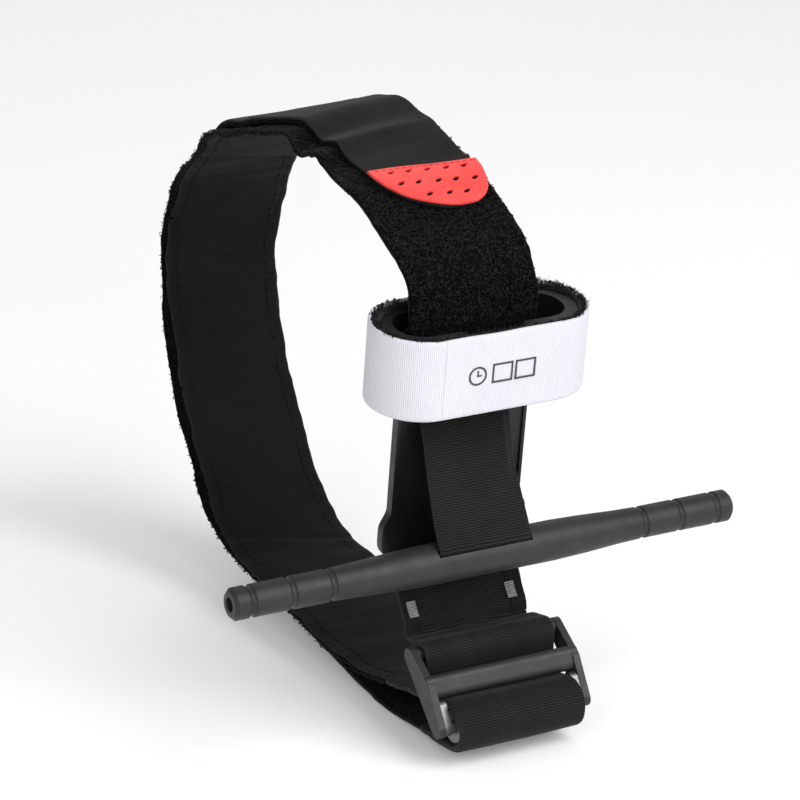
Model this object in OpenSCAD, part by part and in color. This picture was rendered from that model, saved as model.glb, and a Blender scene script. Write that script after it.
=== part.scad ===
// Windlass tourniquet, closed into a loop and standing on its edge.
// Origin: middle of the windlass rod. X runs along the rod and across the band,
// Y from the rod to the far side of the loop, Z up along the base plate.

/* [Band] */
// Width of the self-adhering band
band_w = 38; // [34:0.5:42]
// Thickness of the fuzzy hook-and-loop tape
tape_t = 1.1; // [0.8:0.1:1.6]
// Thickness of the smooth lining
lining_t = 0.9; // [0.6:0.1:1.2]
// Distance from the origin to the far side of the loop
loop_back = 162.5; // [150:0.5:175]
// Height of the top of the loop
loop_top = 102.5; // [90:0.5:115]
// Width of the free end that lies on the outside
run_w = 33.5; // [30:0.5:42]
// Length of the tail that can be peeled open
tail_l = 42; // [30:1:60]
// Length of the red tip
tip_l = 15.5; // [10:0.5:20]

/* [Windlass] */
// Length of the windlass rod
rod_l = 152; // [130:1:160]
// Diameter of the rod at its middle
rod_d = 11; // [9:0.1:13]
// Diameter of the rod at its grooved ends
rod_end_d = 8.8; // [7:0.1:10]
// Distance between the grip grooves
groove_pitch = 11.6; // [8:0.1:14]
// Width of the tension ribbon
ribbon_w = 27.2; // [22:0.2:30]
// Thickness of the tension ribbon
ribbon_t = 1.2; // [0.8:0.1:1.6]

/* [Plate and clip] */
// Forward lean of plate, clip and time strap
lean = 8; // [0:0.5:15]
// Width of the base plate at the clip
plate_w = 39.6; // [36:0.2:44]
// Width of the base plate at the rod
plate_foot_w = 44; // [40:0.2:52]
// Thickness of the base plate
plate_t = 2; // [1.5:0.1:3]
// Outer width of the windlass clip
clip_w = 56; // [52:0.2:64]
// Height of the windlass clip along the band
clip_h = 20.5; // [16:0.5:26]
// Wall thickness of the clip's arms
clip_wall = 3.4; // [2.5:0.1:4.5]
// Gap between the clip's two arms
clip_gap = 17; // [14:0.5:22]

/* [Time strap] */
// Height of the white time strap
strap_h = 22.8; // [18:0.5:28]
// Thickness of the white web
strap_web_t = 1.2; // [0.8:0.1:2]
// Thickness of the black hook layer inside it
strap_hook_t = 1.6; // [1:0.1:2.2]

/* [Buckle] */
// Width of the buckle over its rails
buckle_w = 46.4; // [44:0.2:52]
// Thickness of the buckle's rails
rail_t = 4.6; // [4:0.1:7]
// Radius of the bar that the band folds round
fold_bar_r = 4.3; // [3:0.1:5]

/* [Hidden] */
$fn = 48;
gap = 0.4;
layer_t = tape_t + lining_t;

// The loop is a rounded outline [y, z, corner radius] that all band layers follow.
// It is the outer face of the inner layer: up the front, over the top, down the back.
plate_y = 18.7;
loop_front_top = [plate_y - 13.4, 76.9, 18];
loop_shoulder = [36, loop_top - 10, 30];
loop_crown = [80, loop_top, 60];
loop_far_top = [124, loop_top - 12.5, 45];
loop_back_top = [loop_back, loop_top - 42.5, 48];
loop_back_low = [loop_back, 14, 60];
loop_far_low = [loop_back - 29.5, -37.5, 40];
loop_under = [45, -46.5, 60];
run_under = [22, -49.2, 40];

// Buckle bars, seen from the side
bar_upper = [0.8, -25.5];
bar_middle = [-8.4, -31.4];
bar_fold = [-14.2, -41];
rail_w = 2;
fold_r = fold_bar_r + 0.5;

// Rod slot: the ribbon goes in at the upper front and leaves at the lower back.
slot_pitch = -46;
slot_w = ribbon_w + 1.2;
slot_t = ribbon_t + 0.8;

// The ribbon leaves the rod a little to one side of its middle.
ribbon_aside = -2.4;

// Clip and strap, seen along the plate
clip_z = 46;
clip_front = -15.5;
clip_back = 5.5;
clip_back_wall = 2.3;
clip_round = 10.4;
strap_z = 45;
strap_front = -18.75;
strap_half = 31.3;
strap_round = 14;
strap_mid = strap_front + strap_round;
strap_t = strap_web_t + strap_hook_t;

// The free end isn't laid quite true: it drifts to one side as it climbs.
drift = 0.9;

// The red tip is sewn on a few degrees askew, and its lowest point lies to one side.
tip_t = 0.9;
tip_skew = 6.5;
tip_lean = 1.8;

// ---- Outlines in the side view ----

function dir(h) = [cos(h), sin(h)];
function left(h) = [-sin(h), cos(h)];
function heading(a, b) = atan2(b[1] - a[1], b[0] - a[0]);
function yz(v) = [v[0], v[1]];
function wrap180(a) = a - 360 * floor((a + 180) / 360);

// Points [point, heading] of the rounded corner at b.
function corner(a, b, c) =
  let (h0 = heading(a, b), turn = wrap180(heading(b, c) - h0), k = turn < 0 ? 1 : -1)
  let (start = yz(b) - b[2] * tan(abs(turn) / 2) * dir(h0), mid = start - k * b[2] * left(h0))
  let (n = ceil(abs(turn) / 6))
  [for (i = [0:n]) let (h = h0 + turn * i / n) [mid + k * b[2] * left(h), h]];

// Points [point, heading] along a list of vertices [y, z, corner radius].
function path(v) =
  let (last = len(v) - 1)
  let (p = concat([[yz(v[0]), heading(v[0], v[1])]],
    [for (i = [1:1:last - 1]) each corner(v[i - 1], v[i], v[i + 1])],
    [[yz(v[last]), heading(v[last - 1], v[last])]]))
  [for (i = [0:len(p) - 1]) if (i == 0 || norm(p[i][0] - p[i - 1][0]) > 0.01) p[i]];

// The two vertices that lead a path round a circle, from one heading to the other.
function round_bar(c, r, h0, h1) =
  let (mid = (h0 + h1) / 2, reach = r * tan((h1 - h0) / 4))
  [for (h = [h0, mid]) concat(c - r * left(h) + reach * dir(h), r)];

// Heading of the line from p that touches the circle c, r on the right of the centre line.
function touching(p, c, r) =
  heading(p, c) - asin(r / norm(c - yz(p)));

function reversed(v) = [for (i = [len(v) - 1:-1:0]) v[i]];

// The points that lie at offset d on the left of a path.
function beside(p, d) = [for (q = p) q[0] + d * left(q[1])];

// Point of the straight line a-b at a given y.
function on_line(a, b, y) = [y, a[1] + (b[1] - a[1]) * (y - a[0]) / (b[0] - a[0])];

// Point of the plate's frame (height along the plate, depth behind its front face).
function plate_point(s, t) =
  [plate_y + t * cos(lean) - s * sin(lean), s * cos(lean) + t * sin(lean)];

module across(w) {
  rotate([90, 0, 90])
    linear_extrude(w, center = true)
      children();
}

// A strip of width w that follows a path, from offset d0 to offset d1 on its left.
module strip(v, d0, d1, w) {
  p = path(v);
  across(w)
    polygon(concat(beside(p, d0), reversed(beside(p, d1))));
}

// Points of the half circle of radius r round p that starts at angle a and turns right.
function half_round(p, r, a) = [for (i = [1:11]) p + r * dir(a - 15 * i)];

// A bar of width w that follows a path, with thickness 2 r and round ends.
module rounded_strip(v, r, w) {
  p = path(v);
  first = p[0];
  last = p[len(p) - 1];
  across(w)
    polygon(concat(beside(p, r), half_round(last[0], r, last[1] + 90),
      reversed(beside(p, -r)), half_round(first[0], r, first[1] - 90)));
}

module both_sides(x) {
  for (side = [-1, 1])
    translate([side * x, 0, 0])
      children();
}

module on_plate() {
  translate([0, plate_y, 0])
    rotate([lean, 0, 0])
      children();
}

// ---- Band ----

tape_depth = 1.8;
tape_start = plate_point(50, -tape_t - tape_depth);
lining_join = tape_start + 0.54 * (yz(loop_front_top) - tape_start);
around_loop = [loop_shoulder, loop_crown, loop_far_top, loop_back_top, loop_back_low,
  loop_far_low];
fold_in = touching(loop_under, bar_fold, fold_r);
loop_end = yz(loop_under) + 24 * dir(fold_in);
fold_foot = bar_fold - [0, fold_r];
fold_out = 360 + heading(fold_foot, run_under);
run_start = on_line(fold_foot, run_under, 4);
peel_y = loop_shoulder[0] + tail_l - 15;
peel_line = on_line(loop_shoulder, loop_crown, peel_y);
tail_end = on_line(loop_shoulder, loop_front_top, loop_shoulder[0] - 8);
tail_heading = heading(loop_shoulder, loop_front_top);

// The inner layer's outer face, from a start on the front to the buckle.
function inner_layer(start) =
  concat([start, loop_front_top], around_loop, [loop_under, loop_end]);

// Fuzzy outer tape of the inner layer, from the clip round to the buckle.
module loop_tape() {
  color([0.1, 0.11, 0.1])
    strip(inner_layer(tape_start), -tape_t, 0, band_w);
}

// Smooth lining of the inner layer. In front it runs behind the base plate.
module loop_lining() {
  behind = plate_t + 0.15;
  front = path([[14.6, -22.5], concat(plate_point(-7, behind), 10), plate_point(60.4, behind)]);
  rest = path(inner_layer(lining_join));
  color([0.12, 0.12, 0.115])
    across(band_w)
      polygon(concat(beside(front, 0), beside(rest, -tape_t), reversed(beside(rest, -layer_t)),
        reversed(beside(front, -lining_t))));
}

// Two rows of thread that join lining and tape.
module edge_stitching() {
  color([0.16, 0.16, 0.15])
    both_sides(band_w / 2 - 5)
      strip(inner_layer(lining_join), -layer_t - 0.25, -layer_t, 0.6);
}

module drifting() {
  pivot = loop_under[1];
  translate([0, 0, pivot])
    rotate([0, drift, 0])
      translate([0, 0, -pivot])
        children();
}

// A layer of the doubled-back band, from the buckle round the outside to the peel line.
module run_strip(d0, d1) {
  end = on_line(loop_shoulder, loop_crown, peel_y + 0.4);
  over_top = reversed([for (i = [1:len(around_loop) - 1]) around_loop[i]]);
  drifting()
    strip(concat([run_start, run_under], over_top, [end]), -gap - d1, -gap - d0, run_w);
}

module run_tape() {
  color([0.1, 0.11, 0.1])
    run_strip(0, tape_t);
}

module run_cover() {
  color([0.2, 0.2, 0.19])
    run_strip(tape_t, layer_t);
}

// Stands an outline up on the tail, with y = 0 at the tail's end.
module through_tail() {
  translate([0, tail_end[0], tail_end[1]])
    rotate([tail_heading - 180, 0, 0])
      linear_extrude(40, center = true)
        children();
}

// A layer of the tail between two depths, cut to an outline.
module tail_strip(d0, d1) {
  drifting()
    intersection() {
      strip([peel_line, loop_shoulder, tail_end], -gap - d1, -gap - d0, run_w);
      through_tail()
        children();
    }
}

// Outline of the tail: a half-round end and straight sides.
module tongue(inset) {
  n = 24;
  w = run_w / 2 - inset;
  l = tip_l - inset;
  arc = [for (i = [0:n]) let (a = 180 * i / n)
    [tip_lean * sin(a) - w * cos(a), tip_l - l * sin(a)]];
  polygon(concat([[-w, tip_l + 60]], arc, [[w, tip_l + 60]]));
}

// Places things on the red tip's upper edge, which runs askew.
module at_tip_edge() {
  translate([0, tip_l])
    rotate(-tip_skew)
      children();
}

module tail_tape() {
  color([0.1, 0.11, 0.1])
    tail_strip(0, tape_t)
      tongue(0.6);
}

module tail_cover() {
  color([0.2, 0.2, 0.19])
    tail_strip(tape_t, layer_t)
      tongue(0.6);
}

// Red tip on top of the tail, with its rows of small holes.
module red_tip() {
  color([0.93, 0.3, 0.28])
    tail_strip(layer_t, layer_t + tip_t)
      difference() {
        intersection() {
          tongue(0);
          at_tip_edge()
            translate([-band_w, -2 * tip_l])
              square([2 * band_w, 2 * tip_l]);
        }
        tip_holes();
      }
}

// Rows of five, five and three holes.
module tip_holes() {
  for (row = [0:2], i = [-2:2])
    if (row < 2 || abs(i) < 2)
      translate([i * 5.7 + 0.8 + row % 2, tip_l - 3.2 - 3.2 * row])
        scale([1.25, 0.8])
          circle(1, $fn = 16);
}

// Thread that sews the red tip to the tail.
module tip_seam() {
  color([0.75, 0.22, 0.2])
    tail_strip(layer_t + tip_t + 0.02, layer_t + tip_t + 0.22)
      at_tip_edge()
        translate([0, -0.9])
          square([run_w - 1, 0.5], center = true);
}

// The stretch of band between the two layers: through the buckle and round its bar.
module band_fold() {
  color([0.15, 0.15, 0.145])
    strip(concat([loop_end + 0.4 * dir(fold_in)],
      round_bar(bar_fold, fold_r, fold_in, fold_out), [run_start - 0.4 * dir(fold_out)]),
      -layer_t, 0, band_w);
}

// ---- Front webbing and buckle ----

anchor_r = 4.4;
anchor_top = [16.4, -10.5];
anchor_knee = [9.9, -22.8, 3];
anchor_t = 1.4;
anchor_w = band_w - 2;
anchor_in = 360 + heading(anchor_knee, bar_upper)
  - asin(anchor_r / norm(bar_upper - yz(anchor_knee)));
anchor_out = 385;
anchor_tail = bar_upper - anchor_r * left(anchor_out) + 7 * dir(anchor_out);

function anchor_path() =
  concat([anchor_top, anchor_knee], round_bar(bar_upper, anchor_r, anchor_in, anchor_out),
    [anchor_tail]);

// Fixed end of the band: webbing looped round the buckle's upper bar.
module anchor_webbing() {
  color([0.14, 0.14, 0.135])
    strip(anchor_path(), 0, anchor_t, anchor_w);
}

// Woven binding along both edges of the front webbing.
module edge_bindings() {
  foot = yz(anchor_knee) + 5 * dir(anchor_in);
  color([0.08, 0.08, 0.08])
    both_sides(anchor_w / 2 - 2.5)
      strip([anchor_top, anchor_knee, foot], -0.5, 0, 5);
}

// Two dense tacks that fix the folded end.
module bar_tacks() {
  down = heading(anchor_top, anchor_knee);
  top = anchor_top + 5.3 * dir(down);
  color([0.6, 0.6, 0.58])
    both_sides(anchor_w / 2 - 2.8)
      strip([top, top + 4.6 * dir(down)], -0.9, -0.5, 3.2);
}

module bar(c, r, w) {
  translate([0, c[0], c[1]])
    rotate([0, 90, 0])
      cylinder(r = r, h = w, center = true);
}

module disc(c, r) {
  translate(c)
    circle(r, $fn = 32);
}

// Moulded frame: two side plates, the hidden upper bar and the middle bar.
module buckle_frame() {
  half_height = 1.4 * dir(65);
  color([0.3, 0.31, 0.31]) {
    both_sides((buckle_w - rail_w) / 2)
      across(rail_w)
        hull() {
          disc(bar_upper, rail_t / 2);
          disc(bar_middle, rail_t / 2);
          disc(bar_fold, rail_t / 2);
        }
    bar(bar_upper, 2.1, buckle_w - 1);
    rounded_strip([bar_middle - half_height, bar_middle + half_height], 1.9, buckle_w - 0.2);
  }
}

// Metal insert: the bar that the band folds round, thinner at its ends, and its two cheeks.
module buckle_insert() {
  cheek_w = 2;
  cheek_out = buckle_w / 2 - rail_w - 0.1;
  cheek_top = bar_fold + 5.5 * dir(heading(bar_fold, bar_middle));
  color([0.62, 0.62, 0.6]) {
    both_sides(cheek_out - cheek_w / 2)
      rounded_strip([bar_fold, cheek_top], 2.1, cheek_w);
    bar(bar_fold, 1.6, 2 * cheek_out - 1);
    bar(bar_fold, fold_bar_r, band_w - 1.6);
  }
}

// ---- Windlass ----

// The rod's outline: [distance from the middle, radius].
function rod_outline() = [[0, 0], [0, rod_d / 2], [20, rod_d / 2], [30, rod_d / 2 - 0.35],
  [40, rod_end_d / 2 + 0.2], [46, rod_end_d / 2], [rod_l / 2 - 1, rod_end_d / 2],
  [rod_l / 2, rod_end_d / 2 - 1], [rod_l / 2, 0]];

module half_rod() {
  rotate([0, 90, 0])
    rotate_extrude()
      difference() {
        polygon([for (p = rod_outline()) [p[1], p[0]]]);
        for (i = [0:2])
          translate([rod_end_d / 2 + 0.5, rod_l / 2 - 5.3 - i * groove_pitch])
            circle(1.1, $fn = 24);
      }
}

// Rod with grip grooves, a recess in each end and the ribbon slot.
module windlass_rod() {
  color([0.29, 0.3, 0.31])
    difference() {
      union() {
        half_rod();
        mirror([1, 0, 0])
          half_rod();
      }
      both_sides(rod_l / 2)
        rotate([0, 90, 0])
          cylinder(d = 4, h = 3, center = true);
      translate([ribbon_aside, 0, 0])
        rotate([slot_pitch, 0, 0])
          cube([slot_w, 20, slot_t], center = true);
    }
}

ribbon_head = plate_point(59.5, -0.75);
ribbon_knee = concat(plate_point(38.5, -1.6), 12);
ribbon_foot = -(rod_d / 2 + 0.7) * dir(slot_pitch);
slot_exit = (rod_d / 2 + 0.3) * dir(slot_pitch);

// Ribbon from under the clip to the rod.
module ribbon_upper() {
  color([0.16, 0.16, 0.155])
    translate([ribbon_aside / 2, 0, 0])
      strip([ribbon_head, ribbon_knee, ribbon_foot], -ribbon_t / 2, ribbon_t / 2, ribbon_w);
}

// Ribbon inside the rod's slot.
module ribbon_core() {
  color([0.16, 0.16, 0.155])
    translate([ribbon_aside, 0, 0])
      rotate([slot_pitch, 0, 0])
        cube([ribbon_w, rod_d - 0.6, ribbon_t], center = true);
}

// Ribbon from the rod back into the band, behind the front webbing.
module ribbon_lower() {
  color([0.16, 0.16, 0.155])
    translate([ribbon_aside, 0, 0])
      strip([slot_exit, [19.2, -10.3, 2], [17.5, -13.5, 8], [14.5, -19.2]],
        -ribbon_t / 2, ribbon_t / 2, ribbon_w);
}

// ---- Base plate, clip and time strap, in the plate's frame ----

// Half outline of the plate from its foot to its head: [height, half width].
function plate_side() =
  let (a = plate_foot_w / 2, b = plate_w / 2)
  concat([for (i = [0:6]) [-5 + 5 * (1 - cos(15 * i)), a - 5 + 5 * sin(15 * i)]],
    [for (i = [0:8]) let (k = i / 8) [3.9 + 6 * k, a + (b - a) * (1 - cos(180 * k)) / 2]],
    [[60, b]]);

module plate_outline(inset) {
  side = plate_side();
  polygon(concat([for (p = side) [p[1] - inset, p[0] + (p[0] < 0 ? inset : 0)]],
    [for (p = reversed(side)) [inset - p[1], p[0] + (p[0] < 0 ? inset : 0)]]));
}

// Moulded plate with a thin raised rim.
module base_plate() {
  rim_h = 0.7;
  color([0.11, 0.11, 0.115])
    on_plate()
      rotate([90, 0, 0])
        translate([0, 0, -plate_t])
          difference() {
            linear_extrude(plate_t + rim_h)
              plate_outline(0);
            translate([0, 0, plate_t])
              linear_extrude(5)
                plate_outline(0.9);
            translate([-50, 43, plate_t])
              cube([100, 40, 5]);
          }
}

module rounded_box(w, d, r) {
  square([w - 2 * r, d], center = true);
  square([w, d - 2 * r], center = true);
  for (x = [-1, 1])
    for (y = [-1, 1])
      translate([x * (w / 2 - r), y * (d / 2 - r)])
        circle(r, $fn = 72);
}

// C-shaped clip that catches the rod's end.
module windlass_clip() {
  depth = clip_back - clip_front;
  color([0.1, 0.1, 0.105])
    on_plate()
      translate([0, (clip_front + clip_back) / 2, clip_z])
        linear_extrude(clip_h) {
          difference() {
            rounded_box(clip_w, depth, clip_round);
            translate([0, (clip_wall - clip_back_wall) / 2])
              rounded_box(clip_w - 2 * clip_wall, depth - clip_wall - clip_back_wall,
                clip_round - clip_wall);
            translate([0, -depth / 2])
              square([clip_gap + clip_wall, 2 * clip_wall + 2], center = true);
          }
          both_sides((clip_gap + clip_wall) / 2)
            translate([0, clip_wall / 2 - depth / 2])
              circle(clip_wall / 2);
        }
}

// Plan of the strap between two depths below its outer face.
module strap_ring(d0, d1) {
  difference() {
    stadium(d0);
    stadium(d1);
  }
}

module stadium(d) {
  straight = strap_half - strap_round;
  translate([0, strap_mid]) {
    square([2 * straight, 2 * (strap_round - d)], center = true);
    for (x = [-1, 1])
      translate([x * straight, 0])
        circle(strap_round - d, $fn = 96);
  }
}

// The flap is the front of the strap and the front half of its right-hand bend.
module flap_area(margin) {
  hinge_x = strap_round - strap_half;
  translate([hinge_x + margin, strap_front - 1])
    square([100, strap_round + 1 - margin]);
}

module strap_part(d0, d1, flap) {
  on_plate()
    translate([0, 0, strap_z])
      linear_extrude(strap_h)
        if (flap)
          intersection() {
            strap_ring(d0, d1);
            flap_area(0.2);
          }
        else
          difference() {
            strap_ring(d0, d1);
            flap_area(-0.2);
          }
}

module strap_web() {
  color([0.9, 0.9, 0.93])
    strap_part(0, strap_web_t, false);
}

module strap_hook() {
  color([0.08, 0.08, 0.08])
    strap_part(strap_web_t, strap_t, false);
}

module flap_web() {
  color([0.9, 0.9, 0.93])
    strap_part(0, strap_web_t, true);
}

module flap_hook() {
  color([0.08, 0.08, 0.08])
    strap_part(strap_web_t, strap_t, true);
}

windlass_rod();
ribbon_core();
ribbon_upper();
ribbon_lower();
base_plate();
windlass_clip();
loop_tape();
loop_lining();
edge_stitching();
run_tape();
run_cover();
tail_tape();
tail_cover();
red_tip();
tip_seam();
band_fold();
anchor_webbing();
edge_bindings();
bar_tacks();
buckle_frame();
buckle_insert();
strap_web();
strap_hook();
flap_web();
flap_hook();
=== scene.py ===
import math

import bmesh
import bpy
import numpy as np
from mathutils import Matrix, Vector


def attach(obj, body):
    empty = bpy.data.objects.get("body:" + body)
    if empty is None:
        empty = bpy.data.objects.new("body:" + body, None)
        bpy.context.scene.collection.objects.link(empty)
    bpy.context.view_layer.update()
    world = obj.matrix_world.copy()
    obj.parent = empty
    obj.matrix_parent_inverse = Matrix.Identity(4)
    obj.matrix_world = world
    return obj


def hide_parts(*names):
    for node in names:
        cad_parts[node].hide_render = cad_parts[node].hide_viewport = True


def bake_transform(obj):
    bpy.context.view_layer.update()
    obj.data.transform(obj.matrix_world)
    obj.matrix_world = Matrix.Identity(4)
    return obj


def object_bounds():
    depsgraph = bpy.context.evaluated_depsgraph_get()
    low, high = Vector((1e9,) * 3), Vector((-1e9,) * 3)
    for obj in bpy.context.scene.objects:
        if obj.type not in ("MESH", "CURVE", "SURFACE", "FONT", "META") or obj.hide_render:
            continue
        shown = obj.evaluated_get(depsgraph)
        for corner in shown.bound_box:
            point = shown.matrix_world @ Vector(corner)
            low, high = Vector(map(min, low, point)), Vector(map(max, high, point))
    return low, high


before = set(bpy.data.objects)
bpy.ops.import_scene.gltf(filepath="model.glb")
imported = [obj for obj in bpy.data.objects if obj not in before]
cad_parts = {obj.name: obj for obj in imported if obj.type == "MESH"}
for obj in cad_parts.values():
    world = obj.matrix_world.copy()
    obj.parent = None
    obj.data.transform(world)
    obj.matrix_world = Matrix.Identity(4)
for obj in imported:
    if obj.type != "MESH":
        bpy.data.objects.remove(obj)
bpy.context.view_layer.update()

# All lengths below are in millimetres until a mesh is made.
MM = 0.001

# ---- Sizes that part.scad also has ----
BAND_W = 38
TAPE_T = 1.1
LINING_T = 0.9
LAYER_T = TAPE_T + LINING_T
GAP = 0.4
LEAN = math.radians(8)
PLATE_Y = 18.7
RIBBON_W = 27.2
RIBBON_T = 1.0
SLOT_PITCH = math.radians(-46)
RIB = 0.72

LOOP_FRONT_TOP = (5.3, 76.9, 18)
LOOP_SHOULDER = (36, 92.5, 30)
LOOP_CROWN = (80, 102.5, 60)
AROUND = [LOOP_SHOULDER, LOOP_CROWN, (124, 90, 45), (162.5, 60, 48), (162.5, 14, 60), (133, -37.5, 40)]
LOOP_UNDER = (45, -46.5, 60)
RUN_UNDER = (22, -49.2, 40)
PEEL_Y = 63
TAIL_END_Y = 25
TAIL_W = 29.9
TIP_L = 17.4
TIP_T = 0.9
TIP_SKEW = math.radians(-8)
TIP_LEAN = 5.0
DRIFT = math.radians(0.95)

BAR_FOLD = np.array((-14.2, -41.0))
FOLD_R = 4.8
ANCHOR_TOP = (16.4, -10.5)
ANCHOR_KNEE = (9.3, -24.0, 2.5)
ANCHOR_LOOP = [(-3.9, -20.9, 3.6), (-3.6, -33.6, 3.2), (9, -29.5)]
ANCHOR_T = 1.4
ANCHOR_W = 36
STITCH_X = BAND_W / 2 - 3.4
RIBBON_ASIDE = -2.4

STRAP_H = 22.8
STRAP_Z = 45
STRAP_HALF = 31.3
STRAP_ROUND = 14
STRAP_MID = -4.75
WEB_T = 1.2
HOOK_T = 1.6

LOOP_CENTRE = (78, 27)
# Height, direction from the loop's centre and width in degrees of each fold across the band.
BAND_FOLDS = ((1.7, 103, 3.0), (-1.7, 96, 3.2), (0.9, 88, 3.5), (-0.8, 62, 4))
# Directions of the sharp creases in the lining.
CREASES = (-58, -44, -22, 14, 38, 52, 71, 82)
rng = np.random.default_rng(7)


# ---- Outlines in the side view ----

def unit(h):
    return np.array((math.cos(h), math.sin(h)))


def left(h):
    return np.array((-math.sin(h), math.cos(h)))


def heading(a, b):
    return math.atan2(b[1] - a[1], b[0] - a[0])


def plate_point(s, t):
    """Point of the side view at height s along the plate and depth t behind its front."""
    return (PLATE_Y + t * math.cos(LEAN) - s * math.sin(LEAN), s * math.cos(LEAN) + t * math.sin(LEAN))


def on_line(a, b, y):
    return (y, a[1] + (b[1] - a[1]) * (y - a[0]) / (b[0] - a[0]))


def corner(a, b, c):
    """Points of the rounded corner at b, a vertex (y, z, radius)."""
    h0 = heading(a, b)
    turn = (heading(b, c) - h0 + math.pi) % (2 * math.pi) - math.pi
    side = -1 if turn > 0 else 1
    start = np.array(b[:2]) - b[2] * math.tan(abs(turn) / 2) * unit(h0)
    middle = start - side * b[2] * left(h0)
    n = max(3, math.ceil(abs(turn) / math.radians(2)))
    return [middle + side * b[2] * left(h0 + turn * i / n) for i in range(n + 1)]


def round_bar(c, r, h0, h1):
    """The two vertices that lead a line round a circle on its left, between two headings."""
    reach = r * math.tan((h1 - h0) / 4)
    return [(*(c - r * left(h) + reach * unit(h)), r) for h in (h0, (h0 + h1) / 2)]


def touching(p, c, r):
    """Heading of the line from p that passes the circle c, r on its right."""
    return heading(p, c) - math.asin(r / np.linalg.norm(c - np.array(p[:2])))


class Track:
    """A line through vertices (y, z, corner radius) that can be read at any length along it."""

    def __init__(self, vertices):
        points = [np.array(vertices[0][:2])]
        for a, b, c in zip(vertices, vertices[1:], vertices[2:]):
            points += corner(a, b, c)
        points.append(np.array(vertices[-1][:2]))
        kept = [points[0]] + [q for p, q in zip(points, points[1:]) if np.linalg.norm(q - p) > 1e-3]
        coarse = np.array(kept)
        along = np.concatenate([[0], np.cumsum(np.linalg.norm(np.diff(coarse, axis=0), axis=1))])
        self.length = along[-1]
        self.s = np.linspace(0, self.length, int(self.length / 0.25) + 2)
        self.p = np.stack([np.interp(self.s, along, coarse[:, k]) for k in (0, 1)], 1)
        t = np.gradient(self.p, axis=0)
        t /= np.linalg.norm(t, axis=1)[:, None]
        self.n = np.stack([-t[:, 1], t[:, 0]], 1)

    def at(self, s):
        """Points and left normals at the lengths s."""
        p = np.stack([np.interp(s, self.s, self.p[:, k]) for k in (0, 1)], 1)
        n = np.stack([np.interp(s, self.s, self.n[:, k]) for k in (0, 1)], 1)
        return p, n / np.linalg.norm(n, axis=1)[:, None]

    def where(self, test):
        """First length at which test(y, z) holds."""
        return self.s[np.argmax(test(self.p[:, 0], self.p[:, 1]))]


# ---- Random cloth shapes ----

def waves(s, x, size_s, size_x, seed):
    """Smooth random waves between -1 and 1, about size_s by size_x long."""
    table = np.random.default_rng(seed).uniform(-1, 1, (512, 128))
    u, v = np.broadcast_arrays(s / size_s + 50.3, x / size_x + 40.7)
    i, j = np.floor(u).astype(int), np.floor(v).astype(int)
    fu, fv = u - i, v - j
    fu, fv = fu * fu * (3 - 2 * fu), fv * fv * (3 - 2 * fv)
    i, j = i % 511, j % 127
    low = table[i, j] * (1 - fu) + table[i + 1, j] * fu
    high = table[i, j + 1] * (1 - fu) + table[i + 1, j + 1] * fu
    return low * (1 - fv) + high * fv


def ribs(s):
    """Profile of woven ribs, 0 in the grooves and 1 on the ribs."""
    return np.sqrt(np.abs(np.sin(math.pi * s / RIB)))


def bell(a, centre, width):
    return np.exp(-(((a - centre) / width) ** 2))


def ramp(a, start, end):
    t = np.clip((a - start) / (end - start), 0, 1)
    return t * t * (3 - 2 * t)


# ---- Mesh making ----

def link(obj):
    bpy.context.scene.collection.objects.link(obj)


def make_object(name, verts, faces, material, weave=None, smooth=True):
    mesh = bpy.data.meshes.new(name)
    mesh.from_pydata((np.asarray(verts) * MM).tolist(), [], [tuple(map(int, f)) for f in faces])
    mesh.update()
    if weave is not None:
        attribute = mesh.attributes.new("weave", "FLOAT_VECTOR", "POINT")
        attribute.data.foreach_set("vector", np.asarray(weave, np.float32).ravel())
    if smooth:
        mesh.shade_smooth()
        mesh.set_sharp_from_angle(angle=math.radians(60))
    mesh.materials.append(material)
    obj = bpy.data.objects.new(name, mesh)
    link(obj)
    return obj


def grid_shell(outer, inner):
    """Vertices and faces of a closed shell between two grids of points of the same size."""
    n, m = outer.shape[:2]
    verts = np.concatenate([outer.reshape(-1, 3), inner.reshape(-1, 3)])
    index = np.arange(n * m).reshape(n, m)
    back = index + n * m
    a, b, c, d = index[:-1, :-1], index[1:, :-1], index[1:, 1:], index[:-1, 1:]
    faces = [np.stack([a, b, c, d], -1).reshape(-1, 4)]
    faces.append(np.stack([d, c, b, a], -1).reshape(-1, 4) + n * m)
    for top, low in ((index[:, 0], back[:, 0]), (index[::-1, -1], back[::-1, -1])):
        faces.append(np.stack([top[1:], top[:-1], low[:-1], low[1:]], -1))
    for top, low in ((index[0, ::-1], back[0, ::-1]), (index[-1], back[-1])):
        faces.append(np.stack([top[1:], top[:-1], low[:-1], low[1:]], -1))
    faces = np.concatenate(faces)
    first = verts[faces[:, 0]]
    volume = np.einsum("ij,ij->", first, np.cross(verts[faces[:, 1]], verts[faces[:, 2]]))
    volume += np.einsum("ij,ij->", first, np.cross(verts[faces[:, 2]], verts[faces[:, 3]]))
    return verts, faces if volume > 0 else faces[:, ::-1]


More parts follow.
